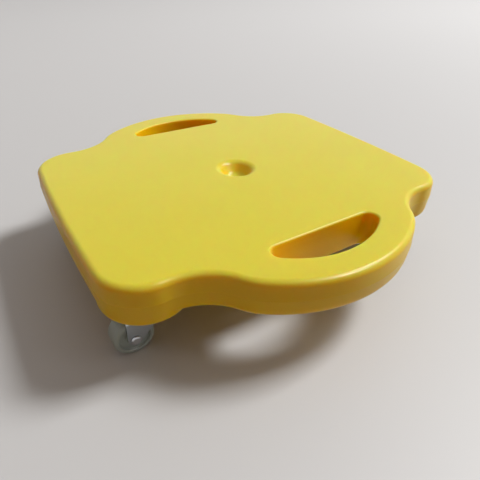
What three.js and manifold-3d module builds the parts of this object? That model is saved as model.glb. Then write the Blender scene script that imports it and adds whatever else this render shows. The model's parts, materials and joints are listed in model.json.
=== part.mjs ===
// Scooter board: a moulded four-cornered deck with two hand slots, on four swivelling casters.
// Millimetres, +Z up. The floor is z = 0 and the origin lies on it, under the middle of the deck.
// The two handles point to -Y (front) and +Y (rear), and the plain sides face -X (left) and +X.

import * as THREE from 'three';
import { mergeVertices } from 'three/addons/utils/BufferGeometryUtils.js';
import Module from 'manifold-3d';

const wasm = await Module();
wasm.setup();

// Deck, seen from above
const boardLength = 430;          // from handle tip to handle tip
const boardWidth = 405;           // over the plain sides
const cornerLength = 292;         // front corner to rear corner, beside the handles
const cornerRadius = 40;
const sideBow = 2.5;              // how far a plain side swells past its two corners
const neckRadius = 55;            // hollow curve between a corner and a handle
const shoulderRadius = 60;
const shoulderSpacing = 108;      // between the centres of a handle's two shoulders
const tipRise = 18;               // a handle's crowned tip past its shoulders

// Deck, in section
const deckThickness = 39.5;
const topEdgeRadius = 9;
const underEdgeRadius = 10;
const partingDepth = 19;          // the widest line, where the two halves of the mould meet
const wallDraftShare = 0.04;      // how much a wall leans in, of the height away from that line

// Hand slots
const gripWidth = 35;             // the bar that the hand closes round
const slotWidth = 31;
const slotLength = 120;
const slotEndRadius = 9;
const slotRimRadius = 9;
const slotUnderRimRadius = 3;

// Dimples in the middle, where the upper and lower skins are pressed together
const dimpleMouthRadius = 25;
const dimpleRimRadius = 9;
const dimpleFloorRadius = 12;
const dimpleSlope = THREE.MathUtils.degToRad(55);
const dimpleDepth = 15;
const skinThickness = 3.5;

// Stiffening channels in the underside
const channelLength = 130;
const channelWidth = 18;
const channelDepth = 9;
const channelLean = 4;            // how much narrower the bottom is, each side
const channelSetting = 78;        // from the middle of the deck to a channel's middle line

// Pads that the casters are screwed to
const podDepth = 4.5;
const podMargin = 0.3;            // the pad's wall stands this far inside the deck's wall
const casterShift = 1;            // a caster stands this far outward of its corner's centre, in X and Y

// Caster
const wheelRadius = 19;
const wheelWidth = 19;
const wheelShoulder = 3;
const wheelHubRadius = 6.5;
const wheelRimThickness = 4.5;
const wheelFaceDish = 2.5;
const wheelDishLean = 1;
const wheelHeadroom = 2.5;        // between the wheel and the fork's crown
const wheelSideRoom = 0.7;
const trail = 16;                 // the axle behind the swivel's axis
const forkSheet = 1.5;
const forkBend = 2.5;             // inside radius of the two bends
const forkEyeRadius = 6.5;
const forkFrontReach = 9;         // from the swivel's axis to the front edge of a leg
const forkFrontDrop = 3;          // how far that edge runs down before it slants to the axle
const crownLipThickness = 1.5;
const ballRadius = 1.75;
const ballCount = 8;
const racePitchRadius = 9.5;
const raceOpening = 2.2;          // between the crown and the hub pressed into the plate
const raceMargin = 2.8;           // from the balls' pitch circle to the edge of that hub
const cageThickness = 0.9;
const cageWidth = 4.2;
const hubDrop = 4.7;
const hubLean = 2.5;
const plateLengthX = 44;
const plateWidthY = 36;
const plateCorner = 6;
const plateSheet = 1.8;
const screwInset = 6;             // from the plate's edges to a screw's middle
const kingpinRadius = 3;
const kingpinHeadRadius = 5.5;
const kingpinHeadHeight = 2.4;
const washerRadius = 7.5;
const washerThickness = 1.4;
const axleRadius = 2.5;
const axleHeadRadius = 4.6;
const axleHeadHeight = 2;
const axleTail = 1;               // thread showing past the nut
const nutAcrossFlats = 8;
const nutThickness = 4;
const bushWall = 1;
const screwRadius = 2;
const screwHeadRadius = 3.8;
const screwHeadHeight = 2.2;
const screwLength = 16;
const screwTip = 3;

// Fits
const seatGap = 0.3;
const runningGap = 0.3;
const overrun = 2;                // how far a cut runs past the face it opens
const weld = 0.0005;              // vertices nearer than this are one

// Facets
const sideSteps = 1;
const cornerSteps = 8;
const neckSteps = 5;
const shoulderSteps = 3;
const tipSteps = 3;
const edgeSteps = 3;
const slotEndSteps = 4;
const channelEndSteps = 5;
const slotArcSteps = 8;
const dimpleSides = 20;
const dimpleSteps = 2;
const podSides = 26;
const wheelSides = 24;
const raceSides = 12;
const turnedSides = 10;
const screwSides = 8;
const ballSides = 6;
const grooveSides = 6;
const shapeArcSteps = edgeSteps / 2;   // three.js cuts each arc of a shape into twice this many
const quarterTurn = Math.PI / 2;

// Heights, from the floor up
const axleHeight = wheelRadius;
const crownUnder = axleHeight + wheelRadius + wheelHeadroom;
const crownTop = crownUnder + forkSheet;
const hubUnder = crownTop + raceOpening;
const plateUnder = hubUnder + hubDrop;
const plateTop = plateUnder + plateSheet;
const podUnder = plateTop + seatGap;
const deckUnder = podUnder + podDepth;
const deckTop = deckUnder + deckThickness;
const partingHeight = deckTop - partingDepth;

// Plan positions
const halfLength = boardLength / 2;
const halfWidth = boardWidth / 2;
const cornerX = halfWidth - sideBow - cornerRadius;
const cornerY = cornerLength / 2 - cornerRadius;
const casterX = cornerX + casterShift;
const casterY = cornerY + casterShift;

// Materials
const deckPlastic = new THREE.MeshStandardMaterial({ color: 0xd9c93f, roughness: 0.42, metalness: 0 });
const wheelPlastic = new THREE.MeshStandardMaterial({ color: 0xdfe1da, roughness: 0.45, metalness: 0 });
const zincSteel = new THREE.MeshStandardMaterial({ color: 0xa9abac, roughness: 0.38, metalness: 1 });
const brightSteel = new THREE.MeshStandardMaterial({ color: 0xc9cacb, roughness: 0.25, metalness: 1 });

// A closed geometry of positions only, with its faces pointing out.
function closedGeometry(geometry) {
  const bare = geometry.clone();
  bare.deleteAttribute('normal');
  bare.deleteAttribute('uv');
  const merged = mergeVertices(bare, weld);
  const place = merged.attributes.position;
  const a = new THREE.Vector3();
  const b = new THREE.Vector3();
  const c = new THREE.Vector3();
  const faces = [];
  let volume = 0;
  for (let i = 0; i < merged.index.count; i += 3) {
    const [p, q, r] = [merged.index.getX(i), merged.index.getX(i + 1), merged.index.getX(i + 2)];
    if (p === q || q === r || r === p) continue;
    faces.push([p, q, r]);
    a.fromBufferAttribute(place, p);
    b.fromBufferAttribute(place, q);
    c.fromBufferAttribute(place, r);
    volume += a.dot(b.cross(c));
  }
  const outward = volume > 0 ? faces : faces.map(([p, q, r]) => [r, q, p]);
  const closed = new THREE.BufferGeometry();
  closed.setAttribute('position', place);
  closed.setIndex(outward.flat());
  return closed;
}

function solidFrom(geometry) {
  const closed = closedGeometry(geometry);
  const vertProperties = new Float32Array(closed.attributes.position.array);
  const triVerts = new Uint32Array(closed.index.array);
  return new wasm.Manifold(new wasm.Mesh({ numProp: 3, vertProperties, triVerts }));
}

function geometryFrom(solid) {
  const mesh = solid.getMesh();
  const geometry = new THREE.BufferGeometry();
  geometry.setAttribute('position', new THREE.BufferAttribute(mesh.vertProperties, mesh.numProp));
  geometry.setIndex(new THREE.BufferAttribute(mesh.triVerts, 1));
  return geometry;
}

// A body turned about Z from points of [radius, height]. The radius is that of the facets' flats.
function turned(profile, sides) {
  const spread = 1 / Math.cos(Math.PI / sides);
  const points = profile.map(([radius, height]) => new THREE.Vector2(radius * spread, height));
  return new THREE.LatheGeometry(points, sides, Math.PI / sides).rotateX(quarterTurn);
}

// The same about Y, with a flat at the bottom.
function turnedAcross(profile, sides) {
  return turned(profile, sides).rotateX(-quarterTurn);
}

// A ring about Z between two radii and two heights.
function ringBetween(inner, outer, low, high, sides) {
  return turned([[inner, low], [outer, low], [outer, high], [inner, high], [inner, low]], sides);
}

function disc(radius, low, high, sides) {
  return turned([[0, low], [radius, low], [radius, high], [0, high]], sides);
}

// A flat shape given a depth along Z, without a bevel.
function extruded(shape, depth, curveSegments) {
  return new THREE.ExtrudeGeometry(shape, { depth, curveSegments, bevelEnabled: false });
}

// Points of a convex quarter round as [in, down], from the flat face round to the wall.
function roundSteps(radius, steps) {
  return Array.from({ length: steps + 1 }, (_, i) => {
    const angle = quarterTurn * i / steps;
    return [radius * (1 - Math.sin(angle)), radius * (1 - Math.cos(angle))];
  });
}

// An outline is a list of arcs. Each has a centre, a radius that is negative where the curve is
// hollow, and the two directions between which its outward normal turns.
function ringPoints(arcs, inset) {
  const points = [];
  for (const { x, y, radius, from, to, steps } of arcs) {
    for (let i = 0; i <= steps; i += 1) {
      const angle = from + (to - from) * i / steps;
      const reach = radius - inset;
      points.push([x + reach * Math.cos(angle), y + reach * Math.sin(angle)]);
    }
  }
  return points;
}

// One quarter of the deck's outline, from the middle of the right side to the tip of the rear
// handle: five arcs, each tangent to the next.
function quarterArcs() {
  const corner = new THREE.Vector2(cornerX, cornerY);
  const shoulder = new THREE.Vector2(shoulderSpacing / 2, halfLength - tipRise - shoulderRadius);
  const sideRadius = (cornerY ** 2 + (cornerRadius + sideBow) ** 2 - cornerRadius ** 2) / (2 * sideBow);
  const crown = shoulder.x ** 2 + (shoulderRadius + tipRise) ** 2 - shoulderRadius ** 2;
  const tipRadius = crown / (2 * tipRise);
  const side = new THREE.Vector2(halfWidth - sideRadius, 0);
  const tip = new THREE.Vector2(0, halfLength - tipRadius);

  const across = shoulder.clone().sub(corner);
  const toCorner = cornerRadius + neckRadius;
  const toShoulder = shoulderRadius + neckRadius;
  const along = (toCorner ** 2 - toShoulder ** 2 + across.lengthSq()) / (2 * across.length());
  const off = Math.sqrt(toCorner ** 2 - along ** 2);
  const forward = across.clone().normalize();
  const outward = new THREE.Vector2(forward.y, -forward.x);
  const neck = corner.clone().addScaledVector(forward, along).addScaledVector(outward, off);

  const direction = (start, end) => Math.atan2(end.y - start.y, end.x - start.x);
  const sideEnd = direction(side, corner);
  const cornerEnd = direction(corner, neck);
  const neckEnd = direction(shoulder, neck);
  const shoulderEnd = direction(tip, shoulder);
  return [
    { ...side, radius: sideRadius, from: 0, to: sideEnd, steps: sideSteps },
    { ...corner, radius: cornerRadius, from: sideEnd, to: cornerEnd, steps: cornerSteps },
    { ...neck, radius: -neckRadius, from: cornerEnd, to: neckEnd, steps: neckSteps },
    { ...shoulder, radius: shoulderRadius, from: neckEnd, to: shoulderEnd, steps: shoulderSteps },
    { ...tip, radius: tipRadius, from: shoulderEnd, to: quarterTurn, steps: tipSteps },
  ];
}

// The whole outline: the quarter and its three mirror images, drawn round anticlockwise.
function deckRing(inset) {
  const quarter = ringPoints(quarterArcs(), inset);
  const half = [...quarter, ...quarter.map(([x, y]) => [-x, y]).reverse()];
  return distinct([...half, ...half.map(([x, y]) => [-x, -y])]);
}

// The same points without those that repeat the one before.
function distinct(points) {
  return points.filter(([x, y], i) => {
    const [lastX, lastY] = points[(i + points.length - 1) % points.length];
    return Math.hypot(x - lastX, y - lastY) > weld;
  });
}

// A slot's outline on the rear handle: a straight inner edge, two round ends and a bowed outer edge.
function slotArcs() {
  const innerY = halfLength - gripWidth - slotWidth;
  const endX = slotLength / 2 - slotEndRadius;
  const endY = innerY + slotEndRadius;
  const rise = slotWidth - slotEndRadius;
  const bowRadius = (endX ** 2 + rise ** 2 - slotEndRadius ** 2) / (2 * (rise - slotEndRadius));
  const bowY = halfLength - gripWidth - bowRadius;
  const turn = Math.atan2(endY - bowY, endX);
  const end = { y: endY, radius: slotEndRadius, steps: slotEndSteps };
  return [
    { ...end, x: endX, from: -quarterTurn, to: turn },
    { x: 0, y: bowY, radius: bowRadius, from: turn, to: Math.PI - turn, steps: slotArcSteps },
    { ...end, x: -endX, from: Math.PI - turn, to: Math.PI + quarterTurn },
  ];
}

// A straight-sided outline with round ends, along X or Y.
function stadiumArcs(length, width, steps) {
  const reach = (length - width) / 2;
  const end = { y: 0, radius: width / 2, steps };
  return [
    { ...end, x: reach, from: -quarterTurn, to: quarterTurn },
    { ...end, x: -reach, from: quarterTurn, to: 2 * Math.PI - quarterTurn },
  ];
}

// A body through rings of equally many points, one over the other, closed at both ends.
function loft(rings, heights) {
  const count = rings[0].length;
  const positions = rings.flatMap((ring, i) => ring.flatMap(([x, y]) => [x, y, heights[i]]));
  const faces = [];
  for (let i = 0; i + 1 < rings.length; i += 1) {
    for (let j = 0; j < count; j += 1) {
      const next = (j + 1) % count;
      const [a, b, c, d] = [i * count + j, i * count + next, (i + 1) * count + next, (i + 1) * count + j];
      faces.push(a, b, c, a, c, d);
    }
  }
  const cap = THREE.ShapeUtils.triangulateShape(rings[0].map(([x, y]) => new THREE.Vector2(x, y)), []);
  const top = (rings.length - 1) * count;
  for (const [a, b, c] of cap) {
    faces.push(c, b, a, top + a, top + b, top + c);
  }
  const geometry = new THREE.BufferGeometry();
  geometry.setAttribute('position', new THREE.Float32BufferAttribute(positions, 3));
  geometry.setIndex(faces);
  return geometry;
}

// The inset and height of the deck's wall, from the underside up to the top.
function deckSection(under) {
  const underLean = wallDraftShare * (partingHeight - under - underEdgeRadius);
  const topLean = wallDraftShare * (partingDepth - topEdgeRadius);
  const foot = roundSteps(underEdgeRadius, edgeSteps);
  const head = roundSteps(topEdgeRadius, edgeSteps).reverse();
  return [
    ...foot.map(([inward, up]) => [underLean + inward, under + up]),
    [0, partingHeight],
    ...head.map(([inward, down]) => [topLean + inward, deckTop - down]),
  ];
}

function deckBlank() {
  const section = deckSection(deckUnder);
  return solidFrom(loft(section.map(([inset]) => deckRing(inset)), section.map(([, height]) => height)));
}

// A round pad under a corner, its wall in line with the deck's own.
function podBody(x, y) {
  const wall = deckSection(podUnder).filter(([, height]) => height < partingHeight);
  const inside = (cornerRadius - podMargin) * Math.cos(Math.PI / podSides);
  const profile = wall.map(([inset, height]) => [inside - inset, height]);
  const top = profile.at(-1);
  const roof = deckUnder + underEdgeRadius;
  const closed = [[0, podUnder], ...profile, [top[0], roof], [0, roof]];
  return solidFrom(turned(closed, podSides).translate(x, y, 0));
}

// The space of a hand slot: rounded at both faces and narrowest at the parting line.
function slotCutter(turn) {
  const lean = wallDraftShare * (partingDepth - slotRimRadius);
  const section = [
    [slotUnderRimRadius, deckUnder - overrun],
    ...roundSteps(slotUnderRimRadius, edgeSteps).map(([out, up]) => [out, deckUnder + up]),
    [-lean, partingHeight],
    ...roundSteps(slotRimRadius, edgeSteps).reverse().map(([out, down]) => [out, deckTop - down]),
    [slotRimRadius, deckTop + overrun],
  ];
  const rings = section.map(([out]) => ringPoints(slotArcs(), -out));
  return solidFrom(loft(rings, section.map(([, height]) => height)).rotateZ(turn));
}

// A round dimple that opens upward at z = 0: a rolled rim, a slope and a dished floor.
function dimpleCutter(depth) {
  const curve = (dimpleRimRadius + dimpleFloorRadius) * (1 - Math.cos(dimpleSlope));
  const slope = (depth - curve) / Math.tan(dimpleSlope);
  const bend = Array.from({ length: dimpleSteps + 1 }, (_, i) => dimpleSlope * i / dimpleSteps);
  const rim = bend.map((angle) => [
    dimpleMouthRadius - dimpleRimRadius * Math.sin(angle),
    -dimpleRimRadius * (1 - Math.cos(angle)),
  ]);
  const bends = (dimpleRimRadius + dimpleFloorRadius) * Math.sin(dimpleSlope);
  const floorEdge = dimpleMouthRadius - slope - bends;
  const floor = bend.map((angle) => [
    floorEdge + dimpleFloorRadius * Math.sin(angle),
    dimpleFloorRadius * (1 - Math.cos(angle)) - depth,
  ]);
  const profile = [[0, -depth], ...floor, ...rim.reverse(), [dimpleMouthRadius, overrun], [0, overrun]];
  return turned(profile, dimpleSides);
}

// A stiffening channel pressed up into the underside.
function channelCutter(x, y, turn) {
  const arcs = stadiumArcs(channelLength, channelWidth, channelEndSteps);
  const section = [
    [0, deckUnder - overrun],
    [0, deckUnder],
    [channelLean / 2, deckUnder + channelDepth - channelLean / 2],
    [channelLean, deckUnder + channelDepth],
  ];
  const rings = section.map(([inset]) => ringPoints(arcs, inset));
  return solidFrom(loft(rings, section.map(([, height]) => height)).rotateZ(turn).translate(x, y, 0));
}

const screwPlaces = [-1, 1].flatMap((sx) => [-1, 1].map((sy) => [
  sx * (plateLengthX / 2 - screwInset),
  sy * (plateWidthY / 2 - screwInset),
]));

// Casters stand at the four corners. Each trails to the left, turned about its own axis by turn.
const casters = [
  { name: 'front_left', x: -casterX, y: -casterY, turn: 0 },
  { name: 'front_right', x: casterX, y: -casterY, turn: 0 },
  { name: 'rear_left', x: -casterX, y: casterY, turn: Math.PI },
  { name: 'rear_right', x: casterX, y: casterY, turn: 0 },
];

function deckGeometry() {
  let deck = deckBlank();
  for (const { x, y } of casters) {
    deck = deck.add(podBody(Math.sign(x) * cornerX, Math.sign(y) * cornerY));
    for (const [dx, dy] of screwPlaces) {
      const hole = disc(screwRadius + seatGap, podUnder - overrun, podUnder + screwLength, screwSides);
      deck = deck.subtract(solidFrom(hole.translate(x + dx, y + dy, 0)));
    }
  }
  deck = deck.subtract(slotCutter(0)).subtract(slotCutter(Math.PI));
  const underDepth = deckThickness - dimpleDepth - 2 * skinThickness;
  deck = deck.subtract(solidFrom(dimpleCutter(dimpleDepth).translate(0, 0, deckTop)));
  deck = deck.subtract(solidFrom(dimpleCutter(underDepth).rotateX(Math.PI).translate(0, 0, deckUnder)));
  for (const side of [-1, 1]) {
    deck = deck.subtract(channelCutter(0, side * channelSetting, 0));
    deck = deck.subtract(channelCutter(side * channelSetting, 0, quarterTurn));
  }
  return geometryFrom(deck);
}

// The groove that the balls run in, half in the crown and half in the hub over it. Its facets lie
// as far inside the balls' pitch circle as outside it.
function raceGroove() {
  const radius = (ballRadius + runningGap) / Math.cos(Math.PI / grooveSides);
  const pitch = 2 * racePitchRadius / (1 + Math.cos(Math.PI / raceSides));
  return solidFrom(new THREE.TorusGeometry(pitch, radius, grooveSides, raceSides)
    .translate(0, 0, (crownTop + hubUnder) / 2));
}

// The plate: a sheet with rounded corners, a round hub pressed down from it and four screw holes.
function plateGeometry() {
  const outline = new THREE.Shape();
  const [x, y] = [plateLengthX / 2 - plateCorner, plateWidthY / 2 - plateCorner];
  outline.absarc(x, y, plateCorner, 0, quarterTurn);
  outline.absarc(-x, y, plateCorner, quarterTurn, Math.PI);
  outline.absarc(-x, -y, plateCorner, Math.PI, Math.PI + quarterTurn);
  outline.absarc(x, -y, plateCorner, Math.PI + quarterTurn, 2 * Math.PI);
  const sheet = extruded(outline, plateSheet, shapeArcSteps);
  const hubRadius = racePitchRadius + raceMargin;
  const mouth = hubRadius + hubLean;
  const bore = kingpinRadius + seatGap;
  const hub = turned([
    [bore, hubUnder],
    [hubRadius, hubUnder],
    [mouth, plateUnder],
    [mouth, plateTop],
    [mouth - plateSheet, plateTop],
    [hubRadius - plateSheet, hubUnder + plateSheet],
    [bore, hubUnder + plateSheet],
    [bore, hubUnder],
  ], raceSides);
  let plate = solidFrom(sheet.translate(0, 0, plateUnder));
  plate = plate.subtract(solidFrom(disc(mouth - plateSheet / 2, hubUnder, plateTop + overrun, raceSides)));
  plate = plate.add(solidFrom(hub)).subtract(raceGroove());
  for (const [dx, dy] of screwPlaces) {
    const hole = disc(screwRadius + seatGap, plateUnder - overrun, plateTop + overrun, screwSides);
    plate = plate.subtract(solidFrom(hole.translate(dx, dy, 0)));
  }
  return geometryFrom(plate);
}

// Where a straight line from a point touches a circle, on the side that faces forward and down.
function tangentAngle(px, pz, cx, cz, radius) {
  const toPoint = Math.atan2(pz - cz, px - cx);
  return toPoint - Math.acos(radius / Math.hypot(px - cx, pz - cz));
}

// The fork: a pressed channel cut to the side view of its legs, with a round crown on top.
function forkGeometry() {
  const inner = wheelWidth / 2 + wheelSideRoom;
  const outer = inner + forkSheet;
  const bend = forkBend + forkSheet;
  const foot = axleHeight - forkEyeRadius - overrun;
  const channel = new THREE.Shape();
  channel.moveTo(outer, foot);
  channel.absarc(outer - bend, crownTop - bend, bend, 0, quarterTurn);
  channel.absarc(bend - outer, crownTop - bend, bend, quarterTurn, Math.PI);
  channel.lineTo(-outer, foot);
  channel.lineTo(-inner, foot);
  channel.absarc(forkBend - inner, crownUnder - forkBend, forkBend, Math.PI, quarterTurn, true);
  channel.absarc(inner - forkBend, crownUnder - forkBend, forkBend, quarterTurn, 0, true);
  channel.lineTo(inner, foot);
  const back = trail + forkEyeRadius;
  const pressed = extruded(channel, back + forkFrontReach + 2 * overrun, shapeArcSteps);
  pressed.rotateX(quarterTurn).rotateZ(quarterTurn).translate(-back - overrun, 0, 0);

  const edgeFoot = crownUnder - forkFrontDrop;
  const touch = tangentAngle(forkFrontReach, edgeFoot, -trail, axleHeight, forkEyeRadius);
  const view = new THREE.Shape();
  view.moveTo(forkFrontReach, crownTop + overrun);
  view.lineTo(-back, crownTop + overrun);
  view.lineTo(-back, axleHeight);
  view.absarc(-trail, axleHeight, forkEyeRadius, Math.PI, 2 * Math.PI + touch);
  view.lineTo(forkFrontReach, edgeFoot);
  const legs = extruded(view, 2 * (outer + overrun), edgeSteps);
  legs.rotateX(quarterTurn).translate(0, outer + overrun, 0);

  const lipInner = racePitchRadius + raceMargin + 2 * runningGap;
  const lipOuter = lipInner + crownLipThickness;
  const crown = solidFrom(disc(lipOuter, crownUnder, crownTop, raceSides));
  const lip = solidFrom(ringBetween(lipInner, lipOuter, crownUnder, hubUnder + runningGap, raceSides));
  const bore = disc(kingpinRadius + runningGap, crownUnder - overrun, crownTop + overrun, screwSides);
  const axleHole = disc(axleRadius + seatGap, -outer - overrun, outer + overrun, screwSides);
  axleHole.rotateX(quarterTurn).translate(-trail, 0, axleHeight);
  return geometryFrom(solidFrom(pressed).intersect(solidFrom(legs)).add(crown).add(lip)
    .subtract(raceGroove()).subtract(solidFrom(bore)).subtract(solidFrom(axleHole)));
}

// Balls in a flat cage, between the crown and the plate's hub.
function ballRaceGeometry() {
  const middle = (crownTop + hubUnder) / 2;
  const half = cageWidth / 2;
  let race = solidFrom(ringBetween(racePitchRadius - half, racePitchRadius + half,
    middle - cageThickness / 2, middle + cageThickness / 2, ballCount));
  for (let i = 0; i < ballCount; i += 1) {
    const angle = 2 * Math.PI * i / ballCount;
    const ball = new THREE.SphereGeometry(ballRadius, ballSides, ballSides / 2);
    ball.translate(racePitchRadius * Math.cos(angle), racePitchRadius * Math.sin(angle), middle);
    race = race.add(solidFrom(ball));
  }
  return geometryFrom(race);
}

// The rivet that the fork turns on, with a head in the plate's hub and one under the washer.
function kingpinGeometry() {
  const upper = hubUnder + plateSheet + seatGap;
  const lower = crownUnder - 2 * runningGap - washerThickness;
  const crownShare = 0.6;
  const half = kingpinHeadHeight / 2;
  return turned([
    [0, lower - kingpinHeadHeight],
    [kingpinHeadRadius * crownShare, lower - kingpinHeadHeight],
    [kingpinHeadRadius, lower - half],
    [kingpinHeadRadius, lower],
    [kingpinRadius, lower],
    [kingpinRadius, upper],
    [kingpinHeadRadius, upper],
    [kingpinHeadRadius * crownShare, upper + kingpinHeadHeight],
    [0, upper + kingpinHeadHeight],
  ], turnedSides);
}

function washerGeometry() {
  const top = crownUnder - runningGap;
  return ringBetween(kingpinRadius + seatGap, washerRadius, top - washerThickness, top, turnedSides);
}

// The wheel: a rounded tread, dished faces and a hub bored for its bush.
function wheelGeometry() {
  const half = wheelWidth / 2;
  const bore = axleRadius + seatGap + bushWall + runningGap;
  const rimInner = wheelRadius - wheelRimThickness;
  const web = half - wheelFaceDish;
  const face = [
    [bore, half],
    [wheelHubRadius, half],
    [wheelHubRadius + wheelDishLean, web],
    [rimInner - wheelDishLean, web],
    [rimInner, half],
    [wheelRadius - wheelShoulder, half],
    [wheelRadius, half - wheelShoulder],
  ];
  const other = face.map(([radius, across]) => [radius, -across]).reverse();
  return turnedAcross([...face, ...other, face[0]], wheelSides);
}

function bushGeometry() {
  const inner = axleRadius + seatGap;
  const half = wheelWidth / 2 + wheelSideRoom - seatGap;
  return ringBetween(inner, inner + bushWall, -half, half, turnedSides).rotateX(quarterTurn);
}

// The axle bolt, head to the front, with its tail showing past the nut.
function axleBoltGeometry() {
  const seat = wheelWidth / 2 + wheelSideRoom + forkSheet + seatGap;
  const tail = seat + nutThickness + axleTail;
  const crownShare = 0.55;
  return turned([
    [0, -seat - axleHeadHeight],
    [axleHeadRadius * crownShare, -seat - axleHeadHeight],
    [axleHeadRadius, -seat - axleHeadHeight / 2],
    [axleHeadRadius, -seat],
    [axleRadius, -seat],
    [axleRadius, tail],
    [0, tail],
  ], turnedSides).rotateX(-quarterTurn);
}

function axleNutGeometry() {
  const sides = 6;
  const reach = nutAcrossFlats / 2 / Math.cos(Math.PI / sides);
  const flats = new THREE.Shape(Array.from({ length: sides }, (_, i) => {
    const angle = 2 * Math.PI * i / sides;
    return new THREE.Vector2(reach * Math.cos(angle), reach * Math.sin(angle));
  }));
  const bore = (axleRadius + seatGap) / Math.cos(Math.PI / screwSides);
  flats.holes.push(new THREE.Path().absarc(0, 0, bore, 0, 2 * Math.PI));
  const nut = extruded(flats, nutThickness, screwSides / 2);
  const seat = wheelWidth / 2 + wheelSideRoom + forkSheet + seatGap;
  return nut.rotateX(quarterTurn).translate(0, seat + nutThickness, 0);
}

// A pan-head screw, driven up through the plate into its pad.
function screwGeometry() {
  const seat = plateUnder - seatGap;
  const crownShare = 0.7;
  const end = podUnder + screwLength - overrun;
  return turned([
    [0, seat - screwHeadHeight],
    [screwHeadRadius * crownShare, seat - screwHeadHeight],
    [screwHeadRadius, seat],
    [screwRadius, seat],
    [screwRadius, end - screwTip],
    [0, end],
  ], screwSides);
}

function addMesh(group, name, geometry, material) {
  const mesh = new THREE.Mesh(closedGeometry(geometry), material);
  mesh.name = name;
  group.add(mesh);
  return mesh;
}

// One caster. Its group stands on the floor under the swivel's axis.
function caster({ name, x, y, turn }) {
  const group = new THREE.Group();
  group.position.set(x, y, 0);
  group.rotation.z = turn;
  addMesh(group, `${name}_plate`, plateGeometry(), zincSteel);
  screwPlaces.forEach(([dx, dy], i) => {
    addMesh(group, `${name}_plate_screw_${i + 1}`, screwGeometry(), brightSteel).position.set(dx, dy, 0);
  });
  addMesh(group, `${name}_kingpin`, kingpinGeometry(), brightSteel);
  addMesh(group, `${name}_kingpin_washer`, washerGeometry(), zincSteel);
  addMesh(group, `${name}_ball_race`, ballRaceGeometry(), brightSteel);
  addMesh(group, `${name}_fork`, forkGeometry(), zincSteel);
  const axle = new THREE.Group();
  axle.position.set(-trail, 0, axleHeight);
  addMesh(axle, `${name}_wheel`, wheelGeometry(), wheelPlastic);
  addMesh(axle, `${name}_wheel_bush`, bushGeometry(), brightSteel);
  addMesh(axle, `${name}_axle_bolt`, axleBoltGeometry(), brightSteel);
  addMesh(axle, `${name}_axle_nut`, axleNutGeometry(), zincSteel);
  group.add(axle);
  return group;
}

const scooterBoard = new THREE.Group();
addMesh(scooterBoard, 'deck', deckGeometry(), deckPlastic);
for (const place of casters) {
  scooterBoard.add(caster(place));
}

export default scooterBoard;
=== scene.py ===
import json
import math

import bmesh
import bpy
from mathutils import Matrix, Vector


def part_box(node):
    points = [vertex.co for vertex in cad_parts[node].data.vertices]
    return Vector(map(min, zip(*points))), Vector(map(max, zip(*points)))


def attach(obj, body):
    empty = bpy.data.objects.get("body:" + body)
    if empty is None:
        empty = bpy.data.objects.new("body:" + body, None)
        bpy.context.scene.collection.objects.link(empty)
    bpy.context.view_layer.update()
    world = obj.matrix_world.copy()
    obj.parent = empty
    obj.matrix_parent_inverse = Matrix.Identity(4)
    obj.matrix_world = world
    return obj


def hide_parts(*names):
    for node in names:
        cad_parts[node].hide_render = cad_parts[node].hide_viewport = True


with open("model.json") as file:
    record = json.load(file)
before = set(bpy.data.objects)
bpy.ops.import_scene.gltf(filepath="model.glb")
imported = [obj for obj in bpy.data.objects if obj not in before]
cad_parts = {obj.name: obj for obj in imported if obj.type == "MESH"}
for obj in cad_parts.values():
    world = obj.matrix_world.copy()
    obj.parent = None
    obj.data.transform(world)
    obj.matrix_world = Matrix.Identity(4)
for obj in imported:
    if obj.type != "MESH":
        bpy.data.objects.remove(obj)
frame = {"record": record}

# The finish of a scooter board: a moulded yellow deck on four swivelling casters.
# Blender works in metres. Sizes here are in millimetres, and MM turns them into metres.

MM = 0.001
QUARTER_TURN = math.pi / 2
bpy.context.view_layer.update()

# Camera, as fitted to the photograph
PHOTO_WIDTH = 480
FOCAL_PIXELS = 406.12
SENSOR_WIDTH = 36
VIEW_AZIMUTH = math.radians(-33.4)
VIEW_ELEVATION = math.radians(34.96)
VIEW_ROLL = math.radians(1.52)
VIEW_DISTANCE = 476.0             # back from the middle of the deck's top, along the line of sight
VIEW_RIGHT = 6.9                  # and across that line
VIEW_UP = -84.5
CLIP_START = 10
CLIP_END = 20000

# Lamps: a window that casts the shadow, and a glint that only shows in gloss
LAMP_DISTANCE = 9000
WINDOW_AZIMUTH = math.radians(-8)
WINDOW_ELEVATION = math.radians(48)
WINDOW_SIDE = 2300
WINDOW_POWER = 730
GLINT_AZIMUTH = math.radians(-45)
GLINT_ELEVATION = math.radians(51)
GLINT_SIDE = 1300
GLINT_POWER = 1150

# Sky: warm and dim on one side, cool and bright on the other
SKY_STRENGTH = 0.19
SKY_DIM_SHARE = 0.2               # strength of the dim side, of the middle strength
SKY_WARM = (1.0, 0.45, 0.18)
SKY_COOL = (0.95, 0.92, 0.88)
SKY_COOL_SIDE = (0.4, 0.45, 0.8)
BACKDROP = (0.92, 0.92, 0.92)     # what is seen of the sky

# Floor
FLOOR_SIDE = 12000
FLOOR_ROUGHNESS = 0.55
FLOOR_LIT = (0.42, 0.34, 0.26)    # the colour that it casts back
FLOOR_SEEN = (0.60, 0.60, 0.60)   # the colour that is seen

# Deck, seen from above
CORNER_LENGTH = 291               # front corner to rear corner, beside the handles
CORNER_RADIUS = 42.5
SIDE_BOW = 2.5                    # how far a plain side swells past its two corners
NECK_RADIUS = 55                  # hollow curve between a corner and a handle
SHOULDER_RADIUS = 60
SHOULDER_SPACING = 108            # between the centres of a handle's two shoulders
TIP_RISE = 18                     # a handle's crowned tip past its shoulders

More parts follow.
